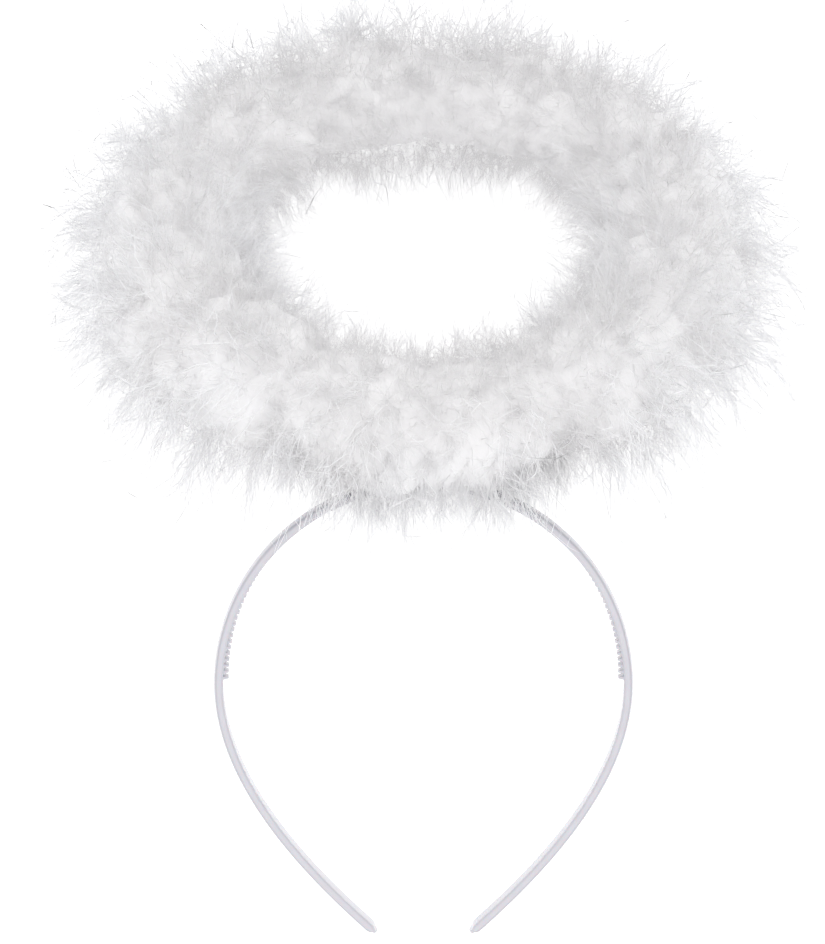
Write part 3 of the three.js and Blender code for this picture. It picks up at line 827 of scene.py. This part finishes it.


# Marabou down is white keratin with no gloss, so fine that light goes through and round every barb. It reads
# as a cool soft white, a little warmer at the roots, and painted darker there as shade where the plumes
# crowd.
DOWN_ROOT_TINT_AND_SHADE = "#f2f1f2"
DOWN_BODY = "#fafafc"
DOWN_TIP = "#fdfdff"
DOWN_TINT_AND_SHADE_AT = (0.38, 0.6, 0.9)  # of the way out from the wire
DOWN_UNEVEN = 0.2
DOWN_PATCH = 30 * MM
DOWN_GRAIN = (1 / (0.7 * MM), 1 / (5 * MM), 1.0)  # across the matted strands and along them

marabou = new_material("white marabou down")
tree = marabou.node_tree
depth = add(tree, "ShaderNodeAttribute", attribute_name="from_wire")
where = add(tree, "ShaderNodeTexCoord").outputs["Object"]
patch = add(tree, "ShaderNodeTexNoise", {"Vector": where, "Scale": 1 / DOWN_PATCH, "Detail": 2.0})
uneven = add(tree, "ShaderNodeMapRange", {
    "Value": patch.outputs["Fac"], "To Min": -DOWN_UNEVEN, "To Max": DOWN_UNEVEN,
})
level = add(tree, "ShaderNodeMath", {0: depth.outputs["Fac"], 1: uneven.outputs[0]}, operation="ADD")
# Painted shade, with a little warmth of its own: the down darkens towards the wire, where the plumes crowd
tint = add(tree, "ShaderNodeValToRGB", {"Fac": level.outputs[0]})
tint.color_ramp.elements[0].position = DOWN_TINT_AND_SHADE_AT[0]
tint.color_ramp.elements[0].color = linear(DOWN_ROOT_TINT_AND_SHADE)
tint.color_ramp.elements[1].position = DOWN_TINT_AND_SHADE_AT[2]
tint.color_ramp.elements[1].color = linear(DOWN_TIP)
tint.color_ramp.elements.new(DOWN_TINT_AND_SHADE_AT[1]).color = linear(DOWN_BODY)
grain = add(tree, "ShaderNodeAttribute", attribute_name="grain")
combed = add(tree, "ShaderNodeVectorMath", {0: grain.outputs["Vector"], 1: DOWN_GRAIN}, operation="MULTIPLY")
matted = add(tree, "ShaderNodeTexNoise", {
    "Vector": combed.outputs[0], "Scale": 1.0, "Detail": 3.0, "Distortion": 0.6,
})
bump = add(tree, "ShaderNodeBump", {"Height": matted.outputs["Fac"], "Strength": 0.7, "Distance": 0.6 * MM})
surface = add(tree, "ShaderNodeBsdfPrincipled", {
    "Base Color": tint.outputs[0], "Roughness": 0.9, "Specular IOR Level": 0.1, "Normal": bump.outputs[0],
    "Sheen Weight": 0.25, "Sheen Roughness": 0.6,
})
add(tree, "ShaderNodeOutputMaterial", {"Surface": surface.outputs[0]})


# Each bunch in turn from the near right to the near left. A puff's swell is a share of the sizes above.
SWELL = (0.76, 0.96, 1.0, 0.96, 0.88, 0.8, 0.86, 0.92, 1.0, 1.02, 0.98, 0.78)
SECTOR = 2 * math.pi / len(SWELL)


def pad_mesh(first, last, swell, seed):
    """The matted down at the heart of a bunch: a closed lumpy cushion round the wire, low beside the legs."""
    rings = []
    for i in range(PAD_ROWS + 1):
        share = i / PAD_ROWS
        turn = first + (last - first) * (share * (1 + 2 * PAD_OVERLAP) - PAD_OVERLAP)
        outward = Vector((math.sin(turn), -math.cos(turn), 0))
        off = abs(2 * share - 1)
        size = swell * max(math.sqrt(1 - off**PAD_BLUNTNESS), PAD_LAST) * (1 - END_DIP * off**2)
        beside = max(math.cos(turn), 0) ** LEGS_SPREAD
        ring = []
        for k in range(PAD_SIDES):
            around = 2 * math.pi * k / PAD_SIDES
            way = outward * math.cos(around) + Vector((0, 0, math.sin(around)))
            oval = math.hypot(PAD_OUT * math.cos(around), PAD_UP * math.sin(around))
            far = 1 + FAR_OUT * max(-math.cos(turn), 0) * math.cos(around)
            place = outward * HALO_RADIUS + way * oval * size * far
            lump = sum(
                height * noise.noise(place / (length * MM) + Vector((seed, 0, length)))
                for length, height in PAD_LUMPS
            )
            low = max(way.dot(DOWN_IN_HALO), 0) * PAD_SKIRT * beside
            ring.append(place + way * (lump * MM * min(size, 1) + low))
        rings.append(ring)
    pad = outward_mesh("pad", *skin(rings), marabou)
    grain = pad.attributes.new("grain", "FLOAT_VECTOR", "POINT")
    across, along = SECTOR * HALO_RADIUS / PAD_ROWS, 2 * PAD_OUT / (PAD_SIDES / 2)
    grain.data.foreach_set("vector", [
        c for i in range(PAD_ROWS + 1) for k in range(PAD_SIDES)
        for c in (i * across, along * abs(k - PAD_SIDES / 2), seed)
    ])
    return pad


def settle(mesh, seed):
    """Curls a bunch, lets it hang from the wire, lays it in place and keeps it clear of the floor."""
    points = np.empty(len(mesh.vertices) * 3, dtype=np.float32)
    mesh.vertices.foreach_get("co", points)
    points = points.reshape(-1, 3).astype(np.float64)
    phases = np.random.default_rng(seed).uniform(0, 2 * math.pi, (3, WAVES))
    flat = np.hypot(points[:, 0], points[:, 1])
    on_wire = np.column_stack((points[:, :2] / flat[:, None] * HALO_RADIUS, np.zeros(len(points))))
    away = points - on_wire
    reach = np.linalg.norm(away, axis=1)
    soft = FULL_REACH - SOFT_REACH
    kept = np.where(reach > SOFT_REACH, FULL_REACH - soft * np.exp(-(reach - SOFT_REACH) / soft), reach)
    share = np.clip(kept / FULL_REACH, 0, 1)
    outer = np.clip((flat - HALO_RADIUS) / np.maximum(reach, TINY), 0, 1)
    wave = np.zeros_like(points)
    for axis in range(3):
        for n in range(WAVES):
            pace = 2 * math.pi / WAVE_LENGTH * (1 + WAVE_STEP * n)
            wave[:, axis] += np.sin(pace * points[:, (axis + n + 1) % 3] + phases[axis, n]) / (1 + n)
    points = on_wire + away * (kept / np.maximum(reach, TINY))[:, None]
    points += WAVE * (share**WAVE_GROWTH)[:, None] * wave
    to_row = np.array(AS_HALO)
    points = points @ to_row[:3, :3].T + to_row[:3, 3]
    near = np.clip(-on_wire[:, 1] / HALO_RADIUS, 0, 1) ** NEAR_SPREAD
    far = np.clip(on_wire[:, 1] / HALO_RADIUS, 0, 1)
    sag = (DROOP * outer * (1 - FAR_STAND * far) + NEAR_DROOP * near) * share**SAG_GROWTH
    points += sag[:, None] * np.array(HANG) + (NEAR_LIFT * near + FAR_LIFT * far)[:, None] * to_row[:3, 2]
    points[:, 2] = np.maximum(points[:, 2], FLOOR_GAP)
    for axis, limit in enumerate((WIDEST, FARTHEST, HIGHEST)):
        over = np.maximum(np.abs(points[:, axis]) - limit, 0)
        points[:, axis] -= np.sign(points[:, axis]) * (over - over / (1 + over / LIMIT_SOFT))
    mesh.vertices.foreach_set("co", points.astype(np.float32).ravel())
    mesh.attributes.new("from_wire", "FLOAT", "POINT").data.foreach_set("value", share.astype(np.float32))
    mesh.update()


down = bunch_tree(plume_tree(), marabou)
for i, swell in enumerate(SWELL):
    first, last = i * SECTOR, (i + 1) * SECTOR
    veil = VEIL if i in (0, len(SWELL) - 1) else 0
    pad = pad_mesh(first, last, swell, i)
    mesh = grown(
        pad, down, First=first, Last=last, Swell=swell, Hang=NEAR_HANG, Seed=BUNCH_SEEDS * i, Veil=veil,
    )
    settle(mesh, i)
    show(f"marabou_bunch_{i + 1:02d}", mesh, "feathers", f"feather_bunch_{i + 1:02d}")
